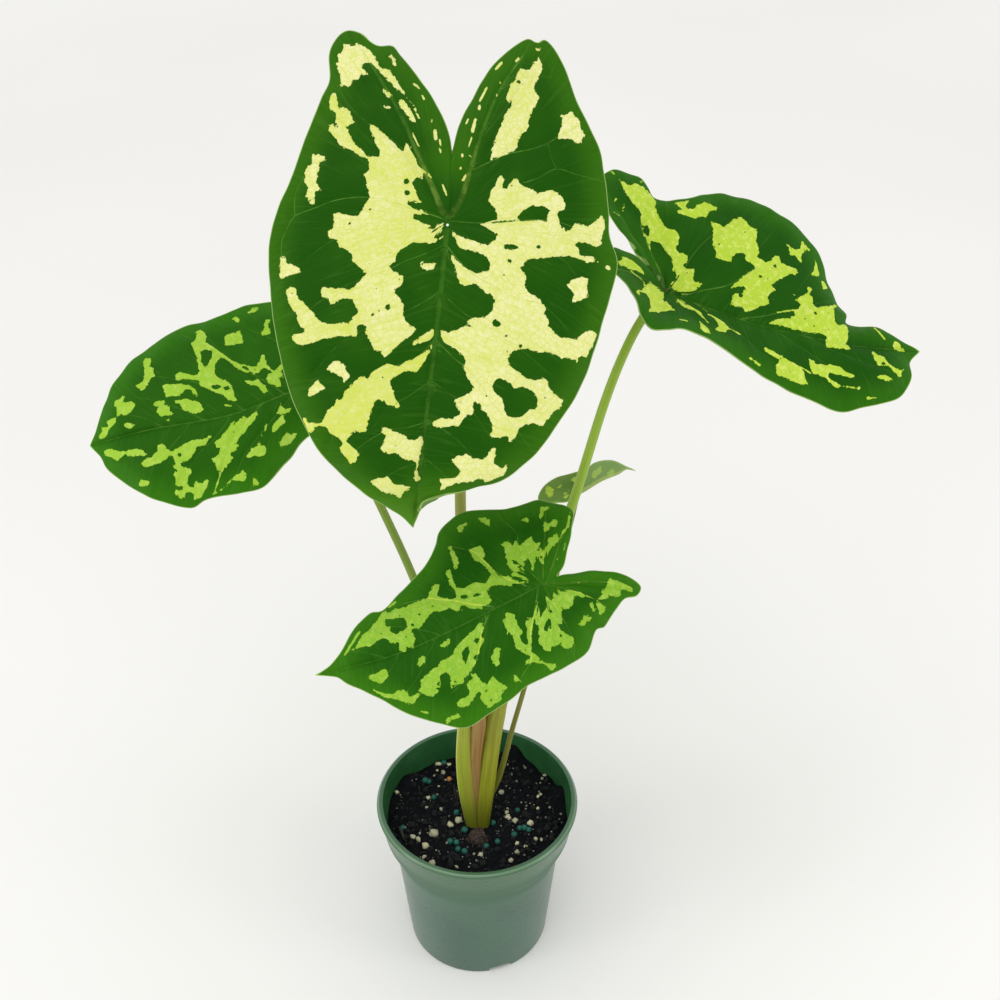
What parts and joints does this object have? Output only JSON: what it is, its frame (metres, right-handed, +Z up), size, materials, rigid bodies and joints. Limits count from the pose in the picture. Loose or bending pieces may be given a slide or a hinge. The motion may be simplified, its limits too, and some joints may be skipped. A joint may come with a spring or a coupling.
{
  "type": "potted hilo beauty caladium",
  "caption": "Potted foliage plant: large shield-shaped leaves splashed cream and lime on upright stalks, growing from soil in a tapered nursery pot.",
  "frame": {"origin": "centre of the pot's flat underside", "axes": "+Z up; the picture looks along +Y and down, with +X to its right"},
  "size_m": [0.3643, 0.1705, 0.4951],
  "materials": {
    "pot": "satin green moulded nursery-pot plastic",
    "soil": "dark moist potting mix of peat and bark crumbs",
    "tuber": "rough brown fibrous skin",
    "stalk": "smooth fleshy yellow-green stalk",
    "pale_leaf": "thin satin leaf, green with cream splashes along the veins",
    "lime_leaf": "thin satin leaf, green with lime splashes along the veins"
  },
  "bodies": {
    "root": {"pot": "pot", "soil": "soil", "tuber": "tuber", "stalk_large_front": "stalk", "blade_large_front": "pale_leaf", "stalk_left": "stalk", "blade_left": "lime_leaf", "stalk_right": "stalk", "blade_right": "lime_leaf", "stalk_lower_front": "stalk", "blade_lower_front": "lime_leaf", "stalk_small_back": "stalk", "blade_small_back": "lime_leaf"}
  },
  "joints": []
}
